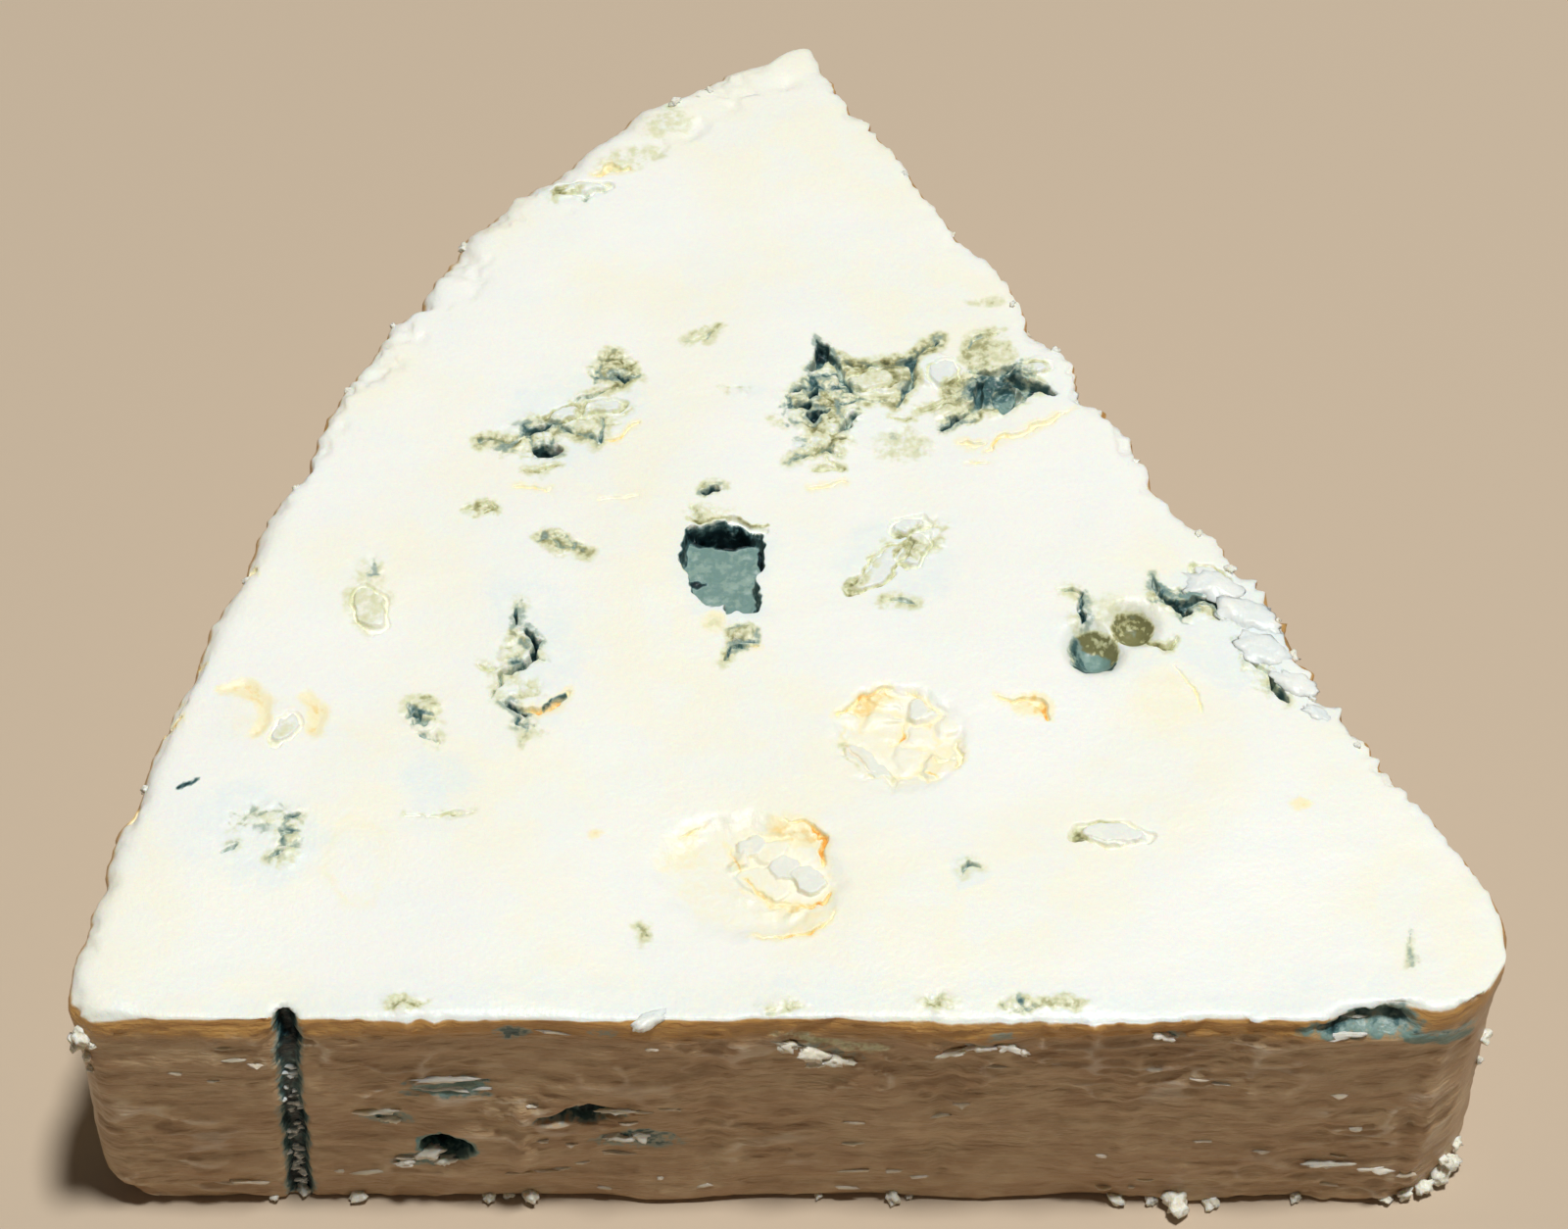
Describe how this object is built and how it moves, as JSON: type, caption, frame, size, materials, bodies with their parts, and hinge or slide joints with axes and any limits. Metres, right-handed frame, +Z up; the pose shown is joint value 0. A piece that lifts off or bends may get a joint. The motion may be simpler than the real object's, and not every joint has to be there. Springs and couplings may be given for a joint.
{
  "type": "blue cheese wedge",
  "caption": "Wedge of blue-veined cheese, a sector of a drum-shaped wheel lying on its flat cut side.",
  "frame": {"origin": "middle of the wedge's footprint, on the surface that it lies on", "axes": "+X along the front cut towards the nose, which was the middle of the wheel; +Y from the front cut towards the far corner; +Z up through the slice's thickness"},
  "size_m": [0.0945, 0.0864, 0.0245],
  "materials": {
    "paste": "moist"
  },
  "bodies": {
    "root": {"blue_cheese_wedge": "paste"}
  },
  "joints": []
}
